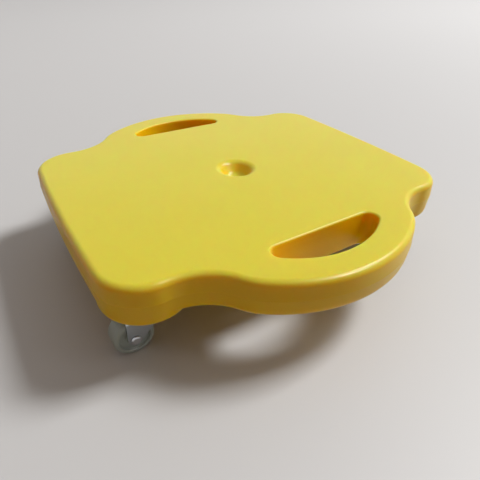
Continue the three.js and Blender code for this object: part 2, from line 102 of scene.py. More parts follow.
# Deck, in section
DECK_THICKNESS = 39.5
TOP_EDGE_RADIUS = 6.5
UNDER_EDGE_RADIUS = 10
PARTING_DEPTH = 19                # the widest line, where the two halves of the mould meet
PARTING_RIDGE = 0.25
PARTING_RIDGE_HEIGHT = 0.9
WALL_DRAFT_SHARE = 0.05           # how much a wall leans in, of the height away from that line

# Hand slots
GRIP_WIDTH = 29.8                 # the bar that the hand closes round
SLOT_WIDTH = 36.2
SLOT_LENGTH = 124.5
SLOT_END_RADIUS = 9
SLOT_RIM_RADIUS = 2.5
SLOT_UNDER_RIM_RADIUS = 3

# Dimples in the middle, where the upper and lower skins are pressed together
DIMPLE_MOUTH_RADIUS = 25
DIMPLE_RIM_RADIUS = 9
DIMPLE_FLOOR_RADIUS = 12
DIMPLE_SLOPE = math.radians(55)
DIMPLE_DEPTH = 15
SKIN_THICKNESS = 3.5

# Stiffening channels in the underside
CHANNEL_LENGTH = 130
CHANNEL_WIDTH = 18
CHANNEL_DEPTH = 9
CHANNEL_LEAN = 4                  # how far a wall leans in, over the full depth
CHANNEL_SETTING = 78              # from the middle of the deck to a channel's middle line
CHANNEL_RIM_RADIUS = 2.5
CHANNEL_ROOF_RADIUS = 3

# Pads that the casters are screwed to
POD_MARGIN = 0.06                 # a pad's wall stands this far inside the deck's wall
POD_EDGE_RADIUS = 8

# Wheel
WHEEL_WIDTH = 19
WHEEL_SHOULDER = 3
WHEEL_EDGE = 0.7
WHEEL_HUB_RADIUS = 6.5
WHEEL_RIM_THICKNESS = 4.5
WHEEL_FACE_DISH = 2.5
WHEEL_DISH_LEAN = 1
TREAD_SEAM = 0.1
TREAD_SEAM_WIDTH = 0.4
BUSH_WALL = 1

# Fork
WHEEL_HEADROOM = 2.5              # between the wheel and the fork's crown
WHEEL_SIDE_ROOM = 0.7
FORK_SHEET = 1.5
FORK_BEND = 2.5                   # inside radius of the two bends
FORK_EYE_RADIUS = 6.5
FORK_FRONT_REACH = 9              # from the swivel's axis to the front edge of a leg
FORK_FRONT_DROP = 3               # how far that edge runs down before it slants to the axle
CROWN_LIP_THICKNESS = 1.5
LIP_EDGE = 0.5
LIP_FOOT_RADIUS = 0.75

# Swivel race
BALL_RADIUS = 1.75
BALL_COUNT = 8
RACE_PITCH_RADIUS = 9.5
RACE_OPENING = 2.2                # between the crown and the hub pressed into the plate
RACE_MARGIN = 2.8                 # from the balls' pitch circle to the edge of that hub
CAGE_THICKNESS = 0.9
CAGE_WIDTH = 4.2

# Plate
HUB_DROP = 4.7                    # how far the hub is pressed down out of the plate
HUB_LEAN = 2.5
HUB_BEND = 1.2
PLATE_CORNER = 6
PLATE_SHEET = 1.8
SCREW_INSET = 6                   # from the plate's edges to a screw's middle
SHEET_EDGE = 0.3

# Kingpin, axle and screws
KINGPIN_RADIUS = 3
KINGPIN_HEAD_RADIUS = 5.5
KINGPIN_HEAD_HEIGHT = 2.4
WASHER_RADIUS = 7.5
WASHER_THICKNESS = 1.4
AXLE_RADIUS = 2.5
AXLE_HEAD_RADIUS = 4.6
AXLE_HEAD_HEIGHT = 2
AXLE_TAIL = 1                     # thread showing past the nut
THREAD_PITCH = 0.8
THREAD_DEPTH = 0.35
THREAD_START_SHARE = 0.4
NUT_SIDES = 6
NUT_ACROSS_FLATS = 8
NUT_THICKNESS = 4
NUT_CREST_SHARE = 0.96
NUT_CHAMFER = math.radians(30)
NUT_EDGE = 0.12
SCREW_RADIUS = 2
SCREW_HEAD_RADIUS = 3.8
SCREW_HEAD_HEIGHT = 2.2
SCREW_REACH = 14                  # into the pad
SCREW_TIP = 3
SCREW_TURN = math.radians(37)     # how much further each screw is driven round than the last
RECESS_REACH = 2.1
RECESS_WIDTH = 1
RECESS_DEPTH = 1.3
RECESS_TAPER_SHARE = 0.3
DOME_SHARE = 0.95                 # radius of a head's round edge, of the head's height
PIN_CHAMFER = 0.5

# Fits
SEAT_GAP = 0.3
RUNNING_GAP = 0.3

# Facets
CHORD = 2.2                       # longest straight step along a curve
FINE_CHORD = 1.4
EDGE_STEPS = 9
ROUND_STEP = math.radians(12)
LEAST_ROUND_STEPS = 2
WHEEL_SIDES = 96
FINE_SIDES = 48
SMALL_SIDES = 32
GROOVE_STEPS = 16
OVERRUN = 2                       # how far a cut runs past the face it opens
SAME_PLACE = 0.000001             # points nearer than this are one

# Shading and rolled edges
SMOOTH_ANGLE = math.radians(28)
FACE_WEIGHT = 100
FLAT_ANGLE = math.radians(1)
ROLLED_ANGLE = math.radians(35)
ROLLED_STEPS = 2

# Deck plastic: painted light makes it paler where it faces up, painted shade makes its walls more
# orange, and a painted bounce glow makes it orange where its own walls enclose it
PAINTED_SHADE_YELLOW = (0.74, 0.515, 0.008)
PAINTED_SHADE_YELLOW_DEEP = (0.76, 0.535, 0.011)
PAINTED_LIT_YELLOW = (0.74, 0.65, 0.05)
PAINTED_LIT_YELLOW_DEEP = (0.77, 0.68, 0.06)
PAINTED_LIGHT_UPWARD_SHARES = (0.3, 0.85)   # the painted light starts and is full where the surface faces up so far
PAINTED_BOUNCE_ORANGE = (1.0, 0.66, 0.0)
PAINTED_BOUNCE_OPEN_SHARES = (0.95, 0.6)  # the painted bounce orange starts and is full where the surface is open so far
PAINTED_BOUNCE_REACH = 40
PAINTED_BOUNCE_SAMPLES = 8
CLOUD_SCALE = 14
CLOUD_DETAIL = 2
SCUFF_SCALE = 25
SCUFF_DETAIL = 1
GRAIN_SCALE = 1400
GRAIN_DETAIL = 2
GRAIN_HEIGHT = 0.3
GRAIN_STRENGTH = 0.08
DECK_ROUGHNESS = (0.30, 0.34)
DECK_IOR = 1.5
DECK_SPECULAR = 0.16
DECK_GLOW_WEIGHT = 1
DECK_GLOW_REACH = (13, 6.5, 1)    # how far red, green and blue light travel inside

# Wheel plastic
WHEEL_GREY = (0.31, 0.38, 0.37)
WHEEL_PALE = (0.36, 0.425, 0.41)
WHEEL_CLOUD_SCALE = 90
WHEEL_CLOUD_DETAIL = 3
WHEEL_ROUGHNESS = 0.42
WHEEL_GLOW_WEIGHT = 0.3
WHEEL_GLOW_REACH = (4, 4, 3)

# Steels
ZINC_GREY = (0.34, 0.36, 0.37)
ZINC_ROUGHNESS = (0.29, 0.42)
BRIGHT_GREY = (0.42, 0.42, 0.43)
BRIGHT_ROUGHNESS = (0.29, 0.36)
SPANGLE_SCALE = 400
SPANGLE_DETAIL = 4

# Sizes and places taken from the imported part
deck_low, deck_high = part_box("deck")
wheel_low, wheel_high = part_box("front_left_wheel")
pin_low, pin_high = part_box("front_left_kingpin")
plate_low, plate_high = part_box("front_left_plate")
HALF_WIDTH = deck_high.x / MM
HALF_LENGTH = deck_high.y / MM
DECK_TOP = deck_high.z / MM
POD_UNDER = deck_low.z / MM
AXLE_HEIGHT = (wheel_low.z + wheel_high.z) / 2 / MM
WHEEL_RADIUS = (wheel_high.z - wheel_low.z) / 2 / MM
TRAIL = (pin_low.x + pin_high.x - wheel_low.x - wheel_high.x) / 2 / MM
PLATE_LENGTH_X = (plate_high.x - plate_low.x) / MM
PLATE_WIDTH_Y = (plate_high.y - plate_low.y) / MM

CORNERS = ("front_left", "front_right", "rear_left", "rear_right")
BODY_OF = {
    node: body
    for body, nodes in frame["record"]["behaviour"]["bodies"].items()
    for node in nodes
}

# Sizes and places worked out from the others
DECK_UNDER = DECK_TOP - DECK_THICKNESS
PARTING_HEIGHT = DECK_TOP - PARTING_DEPTH
CORNER_X = HALF_WIDTH - SIDE_BOW - CORNER_RADIUS
CORNER_Y = CORNER_LENGTH / 2 - CORNER_RADIUS
CROWN_UNDER = AXLE_HEIGHT + WHEEL_RADIUS + WHEEL_HEADROOM
CROWN_TOP = CROWN_UNDER + FORK_SHEET
HUB_UNDER = CROWN_TOP + RACE_OPENING
RACE_HEIGHT = (CROWN_TOP + HUB_UNDER) / 2
PLATE_UNDER = HUB_UNDER + HUB_DROP
PLATE_TOP = PLATE_UNDER + PLATE_SHEET
FORK_BACK_REACH = TRAIL + FORK_EYE_RADIUS
AXLE_SEAT = WHEEL_WIDTH / 2 + WHEEL_SIDE_ROOM + FORK_SHEET + SEAT_GAP
SCREW_PLACES = [
    (sx * (PLATE_LENGTH_X / 2 - SCREW_INSET), sy * (PLATE_WIDTH_Y / 2 - SCREW_INSET))
    for sx in (-1, 1)
    for sy in (-1, 1)
]


# Outlines

# Points along an outline of arcs, drawn in by an inset. An arc is its centre, its radius, below 0
# where the curve is hollow, and the two directions between which its outward normal turns.
def ring_points(arcs, inset, chord):
    points = []
    for x, y, radius, start, end in arcs:
        steps = max(1, math.ceil(abs((end - start) * radius) / chord))
        for i in range(steps + 1):
            angle = start + (end - start) * i / steps
            reach = radius - inset
            points.append(Vector((x + reach * math.cos(angle), y + reach * math.sin(angle))))
    return points


def direction(start, end):
    return math.atan2(end.y - start.y, end.x - start.x)


# The deck's outline from the middle of its right side to the tip of its rear handle.
def quarter_arcs():
    corner = Vector((CORNER_X, CORNER_Y))
    shoulder = Vector((SHOULDER_SPACING / 2, HALF_LENGTH - TIP_RISE - SHOULDER_RADIUS))
    swell = CORNER_Y ** 2 + (CORNER_RADIUS + SIDE_BOW) ** 2 - CORNER_RADIUS ** 2
    side_radius = swell / (2 * SIDE_BOW)
    crown = shoulder.x ** 2 + (SHOULDER_RADIUS + TIP_RISE) ** 2 - SHOULDER_RADIUS ** 2
    tip_radius = crown / (2 * TIP_RISE)
    side = Vector((HALF_WIDTH - side_radius, 0))
    tip = Vector((0, HALF_LENGTH - tip_radius))

    across = shoulder - corner
    to_corner = CORNER_RADIUS + NECK_RADIUS
    to_shoulder = SHOULDER_RADIUS + NECK_RADIUS
    along = (to_corner ** 2 - to_shoulder ** 2 + across.length_squared) / (2 * across.length)
    off = math.sqrt(to_corner ** 2 - along ** 2)
    forward = across.normalized()
    neck = corner + forward * along + Vector((forward.y, -forward.x)) * off

    side_end = direction(side, corner)
    corner_end = direction(corner, neck)
    neck_end = direction(shoulder, neck)
    shoulder_end = direction(tip, shoulder)
    return [
        (side.x, side.y, side_radius, 0, side_end),
        (corner.x, corner.y, CORNER_RADIUS, side_end, corner_end),
        (neck.x, neck.y, -NECK_RADIUS, corner_end, neck_end),
        (shoulder.x, shoulder.y, SHOULDER_RADIUS, neck_end, shoulder_end),
        (tip.x, tip.y, tip_radius, shoulder_end, QUARTER_TURN),
    ]


def deck_ring(inset):
    quarter = ring_points(quarter_arcs(), inset, CHORD)
    half = quarter + [Vector((-p.x, p.y)) for p in reversed(quarter)]
    return half + [-p for p in half]


# A hand slot: straight on its inner side, bowed on its outer side, with rounded ends.
def slot_arcs():
    inner_y = HALF_LENGTH - GRIP_WIDTH - SLOT_WIDTH
    end_x = SLOT_LENGTH / 2 - SLOT_END_RADIUS
    end_y = inner_y + SLOT_END_RADIUS
    rise = SLOT_WIDTH - SLOT_END_RADIUS
    bow_radius = (end_x ** 2 + rise ** 2 - SLOT_END_RADIUS ** 2) / (2 * (rise - SLOT_END_RADIUS))
    bow_y = HALF_LENGTH - GRIP_WIDTH - bow_radius
    turn = math.atan2(end_y - bow_y, end_x)
    return [
        (end_x, end_y, SLOT_END_RADIUS, -QUARTER_TURN, turn),
        (0, bow_y, bow_radius, turn, math.pi - turn),
        (-end_x, end_y, SLOT_END_RADIUS, math.pi - turn, math.pi + QUARTER_TURN),
    ]


# A straight strip with a half circle at each end.
def stadium_arcs(length, width):
    reach = (length - width) / 2
    return [
        (reach, 0, width / 2, -QUARTER_TURN, QUARTER_TURN),
        (-reach, 0, width / 2, QUARTER_TURN, 3 * QUARTER_TURN),
    ]


# Points of a convex quarter round as (in, down), from the flat face round to the wall.
def round_steps(radius):
    angles = [QUARTER_TURN * i / EDGE_STEPS for i in range(EDGE_STEPS + 1)]
    return [(radius * (1 - math.sin(a)), radius * (1 - math.cos(a))) for a in angles]


# The points of an outline of (x, y, radius), with each corner rounded to its radius.
def rounded(corners):
    points = []
    for i, (x, y, radius) in enumerate(corners):
        here = Vector((x, y))
        if radius == 0:
            points.append(here)
            continue
        before = (Vector(corners[i - 1][:2]) - here).normalized()
        after = (Vector(corners[(i + 1) % len(corners)][:2]) - here).normalized()
        half = before.angle(after) / 2
        centre = here + (before + after).normalized() * (radius / math.sin(half))
        start = here + before * (radius / math.tan(half)) - centre
        end = here + after * (radius / math.tan(half)) - centre
        turn = math.atan2(start.cross(end), start.dot(end))
        steps = max(LEAST_ROUND_STEPS, math.ceil(abs(turn) / ROUND_STEP))
        for k in range(steps + 1):
            points.append(centre + Matrix.Rotation(turn * k / steps, 2) @ start)
    return points


# Bodies

def mesh_object(name, vertices, faces):
    mesh = bpy.data.meshes.new(name)
    mesh.from_pydata([Vector(v) * MM for v in vertices], [], faces)
    work = bmesh.new()
    work.from_mesh(mesh)
    bmesh.ops.recalc_face_normals(work, faces=work.faces)
    work.to_mesh(mesh)
    work.free()
    piece = bpy.data.objects.new(name, mesh)
    bpy.context.scene.collection.objects.link(piece)
    return piece


# A body through rings of equally many points, one over the other, closed by a flat face at each end.
# Points that fall together in the middle ring become one.
def loft(name, rings, heights):
    guide = rings[len(rings) // 2]
    kept = [i for i, point in enumerate(guide) if (point - guide[i - 1]).length > SAME_PLACE]
    count = len(kept)
    vertices = [(ring[k].x, ring[k].y, z) for ring, z in zip(rings, heights) for k in kept]
    faces = [list(reversed(range(count)))]
    for i in range(len(rings) - 1):
        lower = i * count
        upper = lower + count
        for j in range(count):
            after = (j + 1) % count
            faces.append([lower + j, lower + after, upper + after, upper + j])
    faces.append([(len(rings) - 1) * count + j for j in range(count)])
    return mesh_object(name, vertices, faces)


# A body turned about Z from the points (radius, height) of its section. The section starts and ends
# on the axis, or stands clear of it and closes on itself.
def turned(name, section, sides):
    vertices = []
    rings = []
    for radius, height in section:
        count = sides if radius > 0 else 1
        rings.append([len(vertices) + j for j in range(count)])
        for j in range(count):
            angle = 2 * math.pi * j / sides
            vertices.append((radius * math.cos(angle), radius * math.sin(angle), height))
    closed = section[0][0] > 0
    pairs = zip(rings, rings[1:] + rings[:1]) if closed else zip(rings, rings[1:])
    faces = []
    for lower, upper in pairs:
        for j in range(sides):
            after = (j + 1) % sides
            face = [
                lower[j % len(lower)],
                lower[after % len(lower)],
                upper[after % len(upper)],
                upper[j % len(upper)],
            ]
            faces.append(list(dict.fromkeys(face)))
    return mesh_object(name, vertices, faces)


def prism(name, outline, low, high):
    return loft(name, [outline, outline], [low, high])


def disc(name, radius, low, high, sides):
    return turned(name, [(0, low), (radius, low), (radius, high), (0, high)], sides)


def sleeve(name, inner, outer, low, high):
    corners = [(inner, low), (outer, low), (outer, high), (inner, high)]
    return turned(name, rounded([(*corner, SHEET_EDGE) for corner in corners]), FINE_SIDES)


def moved(body, x, y):
    body.data.transform(Matrix.Translation(Vector((x, y, 0)) * MM))
    return body


# Joins or cuts the target with another body, which is used up.
def combine(target, other, operation):
    modifier = target.modifiers.new(operation.lower(), "BOOLEAN")
    modifier.operation = operation
    modifier.object = other
    modifier.solver = "MANIFOLD"
    graph = bpy.context.evaluated_depsgraph_get()
    mesh = bpy.data.meshes.new_from_object(target.evaluated_get(graph))
    target.modifiers.clear()
    old = target.data
    target.data = mesh
    bpy.data.meshes.remove(old)
    tool = other.data
    bpy.data.objects.remove(other)
    bpy.data.meshes.remove(tool)


# Rolls every sharp edge of a body over a small radius.
def soften(body, radius):
    work = bmesh.new()
    work.from_mesh(body.data)
    bmesh.ops.dissolve_limit(work, angle_limit=FLAT_ANGLE, verts=work.verts, edges=work.edges)
    work.to_mesh(body.data)
    work.free()
    modifier = body.modifiers.new("rolled edges", "BEVEL")
    modifier.width = radius * MM
    modifier.segments = ROLLED_STEPS
    modifier.limit_method = "ANGLE"
    modifier.angle_limit = ROLLED_ANGLE
    modifier.use_clamp_overlap = True
    return body


def smooth(piece):
    piece.data.shade_smooth()
    piece.data.set_sharp_from_angle(angle=SMOOTH_ANGLE)
    modifier = piece.modifiers.new("flat faces stay flat", "WEIGHTED_NORMAL")
    modifier.mode = "FACE_AREA"
    modifier.weight = FACE_WEIGHT
    modifier.keep_sharp = True


# Deck

# The inset and height of the deck's wall, from the underside up to the top.
def wall_section():
    under_lean = WALL_DRAFT_SHARE * (PARTING_HEIGHT - DECK_UNDER - UNDER_EDGE_RADIUS)
    top_lean = WALL_DRAFT_SHARE * (PARTING_DEPTH - TOP_EDGE_RADIUS)
    under_edge = round_steps(UNDER_EDGE_RADIUS)
    top_edge = reversed(round_steps(TOP_EDGE_RADIUS))
    half = PARTING_RIDGE_HEIGHT / 2
    foot = [(under_lean + inward, DECK_UNDER + up) for inward, up in under_edge]
    ridge = [(0, PARTING_HEIGHT - half), (-PARTING_RIDGE, PARTING_HEIGHT), (0, PARTING_HEIGHT + half)]
    head = [(top_lean + inward, DECK_TOP - down) for inward, down in top_edge]
    return foot + ridge + head


def deck_blank():
    section = wall_section()
    return loft("deck_shell", [deck_ring(inset) for inset, _ in section], [z for _, z in section])


# A pad, turned about a corner's centre. Its wall carries the deck's wall on down.
def pod(x, y):
    roof = DECK_UNDER + UNDER_EDGE_RADIUS
    top_out = CORNER_RADIUS - POD_MARGIN - WALL_DRAFT_SHARE * (PARTING_HEIGHT - roof)
    low_out = top_out - WALL_DRAFT_SHARE * (roof - POD_UNDER - POD_EDGE_RADIUS)
    foot = [(low_out - inward, POD_UNDER + up) for inward, up in round_steps(POD_EDGE_RADIUS)]
    profile = [(0, POD_UNDER)] + foot + [(top_out, roof), (0, roof)]
    sides = math.ceil(2 * math.pi * CORNER_RADIUS / CHORD)
    return moved(turned("pod", profile, sides), x, y)


# The space of a hand slot, narrowest at the parting line and flared into a round rim at both faces.
def slot_cutter(turn):
    lean = WALL_DRAFT_SHARE * (PARTING_DEPTH - SLOT_RIM_RADIUS)
    section = [(SLOT_UNDER_RIM_RADIUS, DECK_UNDER - OVERRUN)]
    section += [(out, DECK_UNDER + up) for out, up in round_steps(SLOT_UNDER_RIM_RADIUS)]
    section += [(-lean, PARTING_HEIGHT)]
    section += [(out, DECK_TOP - down) for out, down in reversed(round_steps(SLOT_RIM_RADIUS))]
    section += [(SLOT_RIM_RADIUS, DECK_TOP + OVERRUN)]
    rings = [ring_points(slot_arcs(), -out, FINE_CHORD) for out, _ in section]
    body = loft("slot", rings, [z for _, z in section])
    body.data.transform(Matrix.Rotation(turn, 4, "Z"))
    return body


# Half the section of a dimple: a flat floor, a slope with a bend at each end, and the open mouth.
def dimple_profile(depth):
    curve = (DIMPLE_RIM_RADIUS + DIMPLE_FLOOR_RADIUS) * (1 - math.cos(DIMPLE_SLOPE))
    slope = (depth - curve) / math.tan(DIMPLE_SLOPE)
    bend = [DIMPLE_SLOPE * i / EDGE_STEPS for i in range(EDGE_STEPS + 1)]
    reach = slope + (DIMPLE_RIM_RADIUS + DIMPLE_FLOOR_RADIUS) * math.sin(DIMPLE_SLOPE)
    floor_edge = DIMPLE_MOUTH_RADIUS - reach
    floor = [(floor_edge + DIMPLE_FLOOR_RADIUS * math.sin(a),
              DIMPLE_FLOOR_RADIUS * (1 - math.cos(a)) - depth) for a in bend]
    rim = [(DIMPLE_MOUTH_RADIUS - DIMPLE_RIM_RADIUS * math.sin(a),
            -DIMPLE_RIM_RADIUS * (1 - math.cos(a))) for a in reversed(bend)]
    return [(0, -depth)] + floor + rim + [(DIMPLE_MOUTH_RADIUS, OVERRUN), (0, OVERRUN)]


def dimple_cutter(depth, z, turn):
    sides = math.ceil(2 * math.pi * DIMPLE_MOUTH_RADIUS / FINE_CHORD)
    body = turned("dimple", dimple_profile(depth), sides)
    body.data.transform(Matrix.Translation(Vector((0, 0, z)) * MM) @ Matrix.Rotation(turn, 4, "X"))
    return body


# The space of a channel, with a round rim at the underside and a round edge to its roof.
def channel_cutter(x, y, turn):
    wall = CHANNEL_DEPTH - CHANNEL_RIM_RADIUS - CHANNEL_ROOF_RADIUS
    lean = CHANNEL_LEAN * wall / CHANNEL_DEPTH
    roof = reversed(round_steps(CHANNEL_ROOF_RADIUS))
    section = [(-CHANNEL_RIM_RADIUS, -OVERRUN)]
    section += [(-out, up) for out, up in round_steps(CHANNEL_RIM_RADIUS)]
    section += [(lean + inward, CHANNEL_DEPTH - down) for inward, down in roof]
    arcs = stadium_arcs(CHANNEL_LENGTH, CHANNEL_WIDTH)
    rings = [ring_points(arcs, inset, FINE_CHORD) for inset, _ in section]
    body = loft("channel", rings, [DECK_UNDER + z for _, z in section])
    body.data.transform(Matrix.Rotation(turn, 4, "Z"))
    return moved(body, x, y)


def make_deck(material):
    deck = deck_blank()
    for sx in (-1, 1):
        for sy in (-1, 1):
            combine(deck, pod(sx * CORNER_X, sy * CORNER_Y), "UNION")
    combine(deck, slot_cutter(0), "DIFFERENCE")
    combine(deck, slot_cutter(math.pi), "DIFFERENCE")
    combine(deck, dimple_cutter(DIMPLE_DEPTH, DECK_TOP, 0), "DIFFERENCE")
    under_depth = DECK_THICKNESS - DIMPLE_DEPTH - 2 * SKIN_THICKNESS
    combine(deck, dimple_cutter(under_depth, DECK_UNDER, math.pi), "DIFFERENCE")
    for side in (-1, 1):
        combine(deck, channel_cutter(0, side * CHANNEL_SETTING, 0), "DIFFERENCE")
        combine(deck, channel_cutter(side * CHANNEL_SETTING, 0, QUARTER_TURN), "DIFFERENCE")
    smooth(deck)
    deck.data.materials.clear()
    deck.data.materials.append(material)
    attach(deck, "board")
    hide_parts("deck")


# Casters. Each piece is made once, trailing to -X, and then copied to the four corners

# A body turned about Z, laid so that its axis is the wheel's and its top points to the rear.
def onto_axle(body):
    place = Matrix.Translation(Vector((-TRAIL, 0, AXLE_HEIGHT)) * MM)
    body.data.transform(place @ Matrix.Rotation(-QUARTER_TURN, 4, "X"))
    return body


def make_wheel():
    half = WHEEL_WIDTH / 2
    bore = AXLE_RADIUS + SEAT_GAP + BUSH_WALL + RUNNING_GAP
    rim_inner = WHEEL_RADIUS - WHEEL_RIM_THICKNESS
    web = half - WHEEL_FACE_DISH
    tread = WHEEL_RADIUS - TREAD_SEAM
    side = [
        (bore, half, WHEEL_EDGE),
        (WHEEL_HUB_RADIUS, half, WHEEL_EDGE),
        (WHEEL_HUB_RADIUS + WHEEL_DISH_LEAN, web, WHEEL_EDGE),
        (rim_inner - WHEEL_DISH_LEAN, web, WHEEL_DISH_LEAN),
        (rim_inner, half, WHEEL_EDGE),
        (tread, half, WHEEL_SHOULDER),
    ]
    seam = [(tread, TREAD_SEAM_WIDTH, 0), (WHEEL_RADIUS, 0, 0), (tread, -TREAD_SEAM_WIDTH, 0)]
    other = [(radius, -across, edge) for radius, across, edge in reversed(side)]
    return onto_axle(turned("wheel", rounded(side + seam + other), WHEEL_SIDES))


def make_bush():
    inner = AXLE_RADIUS + SEAT_GAP
    half = WHEEL_WIDTH / 2 + WHEEL_SIDE_ROOM - SEAT_GAP
    return onto_axle(sleeve("wheel_bush", inner, inner + BUSH_WALL, -half, half))


# The room that the balls run in, cut from the hub over them and the crown under them.
def race_groove():
    reach = BALL_RADIUS + RUNNING_GAP
    angles = [2 * math.pi * i / GROOVE_STEPS for i in range(GROOVE_STEPS)]
    section = [
        (RACE_PITCH_RADIUS + reach * math.cos(a), RACE_HEIGHT + reach * math.sin(a))
        for a in angles
    ]
    return turned("groove", section, FINE_SIDES)


def make_plate():
    x = PLATE_LENGTH_X / 2
    y = PLATE_WIDTH_Y / 2
    corners = [(x, y), (-x, y), (-x, -y), (x, -y)]
    outline = rounded([(*corner, PLATE_CORNER) for corner in corners])
    hub = RACE_PITCH_RADIUS + RACE_MARGIN
    mouth = hub + HUB_LEAN
    bore = KINGPIN_RADIUS + SEAT_GAP
    hub_section = rounded([
        (bore, HUB_UNDER, 0),
        (hub, HUB_UNDER, PLATE_SHEET + HUB_BEND),
        (mouth, PLATE_UNDER, HUB_BEND),
        (mouth + PLATE_SHEET, PLATE_UNDER, 0),
        (mouth + PLATE_SHEET, PLATE_TOP, 0),
        (mouth - PLATE_SHEET, PLATE_TOP, HUB_BEND),
        (hub - PLATE_SHEET, HUB_UNDER + PLATE_SHEET, HUB_BEND),
        (bore, HUB_UNDER + PLATE_SHEET, 0),
    ])
    plate = prism("plate", outline, PLATE_UNDER, PLATE_TOP)
    over = PLATE_TOP + OVERRUN
    cut = disc("cut", mouth + PLATE_SHEET / 2, HUB_UNDER, over, FINE_SIDES)
    combine(plate, cut, "DIFFERENCE")
    combine(plate, turned("hub", hub_section, FINE_SIDES), "UNION")
    combine(plate, race_groove(), "DIFFERENCE")
    for dx, dy in SCREW_PLACES:
        hole = disc("hole", SCREW_RADIUS + SEAT_GAP, PLATE_UNDER - OVERRUN, over, SMALL_SIDES)
        combine(plate, moved(hole, dx, dy), "DIFFERENCE")
    return soften(plate, SHEET_EDGE)


# The side view of the fork's legs, seen from the front, -Y.
def leg_outline():
    edge_foot = CROWN_UNDER - FORK_FRONT_DROP
    over = CROWN_TOP + OVERRUN
    reach = Vector((FORK_FRONT_REACH + TRAIL, edge_foot - AXLE_HEIGHT))
    touch = math.atan2(reach.y, reach.x) - math.acos(FORK_EYE_RADIUS / reach.length)
    steps = math.ceil((math.pi + touch) / ROUND_STEP)
    outline = [Vector((-FORK_BACK_REACH, over))]
    for i in range(steps + 1):
        angle = math.pi + (math.pi + touch) * i / steps
        x = FORK_EYE_RADIUS * math.cos(angle) - TRAIL
        outline.append(Vector((x, FORK_EYE_RADIUS * math.sin(angle) + AXLE_HEIGHT)))
    outline.append(Vector((FORK_FRONT_REACH, edge_foot)))
    outline.append(Vector((FORK_FRONT_REACH, over)))
    return outline


# The bent strip that the legs are cut from, with its length along X.
def fork_strip(inner, outer):
    foot = AXLE_HEIGHT - FORK_EYE_RADIUS - OVERRUN
    section = rounded([
        (outer, foot, 0),
        (outer, CROWN_TOP, FORK_BEND + FORK_SHEET),
        (-outer, CROWN_TOP, FORK_BEND + FORK_SHEET),
        (-outer, foot, 0),
        (-inner, foot, 0),
        (-inner, CROWN_UNDER, FORK_BEND),
        (inner, CROWN_UNDER, FORK_BEND),
        (inner, foot, 0),
    ])
    strip = prism("fork", section, -FORK_BACK_REACH - OVERRUN, FORK_FRONT_REACH + OVERRUN)
    strip.data.transform(Matrix(((0, 0, 1, 0), (1, 0, 0, 0), (0, 1, 0, 0), (0, 0, 0, 1))))
    return strip


# The dished middle of the fork, whose lip stands round the race.
def fork_crown():
    lip_inner = RACE_PITCH_RADIUS + RACE_MARGIN + 2 * RUNNING_GAP
    lip_outer = lip_inner + CROWN_LIP_THICKNESS
    lip_top = HUB_UNDER + RUNNING_GAP
    section = rounded([
        (0, CROWN_UNDER, 0),
        (lip_outer, CROWN_UNDER, CROWN_LIP_THICKNESS),
        (lip_outer, lip_top, LIP_EDGE),
        (lip_inner, lip_top, LIP_EDGE),
        (lip_inner, CROWN_TOP, LIP_FOOT_RADIUS),
        (0, CROWN_TOP, 0),
    ])
    return turned("crown", section, FINE_SIDES)


def make_fork():
    inner = WHEEL_WIDTH / 2 + WHEEL_SIDE_ROOM
    outer = inner + FORK_SHEET
    through = outer + OVERRUN
    fork = fork_strip(inner, outer)
    legs = prism("legs", leg_outline(), -through, through)
    legs.data.transform(Matrix.Rotation(QUARTER_TURN, 4, "X"))
    combine(fork, legs, "INTERSECT")
    combine(fork, fork_crown(), "UNION")
    combine(fork, race_groove(), "DIFFERENCE")
    low = CROWN_UNDER - OVERRUN
    high = CROWN_TOP + OVERRUN
    bore = disc("bore", KINGPIN_RADIUS + RUNNING_GAP, low, high, SMALL_SIDES)
    combine(fork, bore, "DIFFERENCE")
    hole = onto_axle(disc("hole", AXLE_RADIUS + SEAT_GAP, -through, through, SMALL_SIDES))
    combine(fork, hole, "DIFFERENCE")
    return soften(fork, SHEET_EDGE)


def make_ball_race():
    low = RACE_HEIGHT - CAGE_THICKNESS / 2
    high = RACE_HEIGHT + CAGE_THICKNESS / 2
    inner = RACE_PITCH_RADIUS - CAGE_WIDTH / 2
    outer = RACE_PITCH_RADIUS + CAGE_WIDTH / 2
    race = turned("ball_race", [(inner, low), (outer, low), (outer, high), (inner, high)], FINE_SIDES)
    angles = [math.pi * i / GROOVE_STEPS for i in range(1, GROOVE_STEPS)]
    section = [(0, RACE_HEIGHT - BALL_RADIUS)]
    section += [(BALL_RADIUS * math.sin(a), RACE_HEIGHT - BALL_RADIUS * math.cos(a)) for a in angles]
    section += [(0, RACE_HEIGHT + BALL_RADIUS)]
    for i in range(BALL_COUNT):
        angle = 2 * math.pi * i / BALL_COUNT
        x = RACE_PITCH_RADIUS * math.cos(angle)
        y = RACE_PITCH_RADIUS * math.sin(angle)
        combine(race, moved(turned("ball", section, SMALL_SIDES), x, y), "UNION")
    return race


def make_kingpin():
    upper = HUB_UNDER + PLATE_SHEET + SEAT_GAP
    lower = CROWN_UNDER - 2 * RUNNING_GAP - WASHER_THICKNESS
    top = upper + KINGPIN_HEAD_HEIGHT
    bottom = lower - KINGPIN_HEAD_HEIGHT
    dome = KINGPIN_HEAD_HEIGHT * DOME_SHARE
    section = rounded([
        (0, bottom, 0),
        (KINGPIN_HEAD_RADIUS, bottom, dome),
        (KINGPIN_HEAD_RADIUS, lower, 0),
        (KINGPIN_RADIUS, lower, 0),
        (KINGPIN_RADIUS, upper, 0),
        (KINGPIN_HEAD_RADIUS, upper, 0),
        (KINGPIN_HEAD_RADIUS, top, dome),
        (0, top, 0),
    ])
    return turned("kingpin", section, FINE_SIDES)


def make_washer():
    top = CROWN_UNDER - RUNNING_GAP
    low = top - WASHER_THICKNESS
    return sleeve("kingpin_washer", KINGPIN_RADIUS + SEAT_GAP, WASHER_RADIUS, low, top)


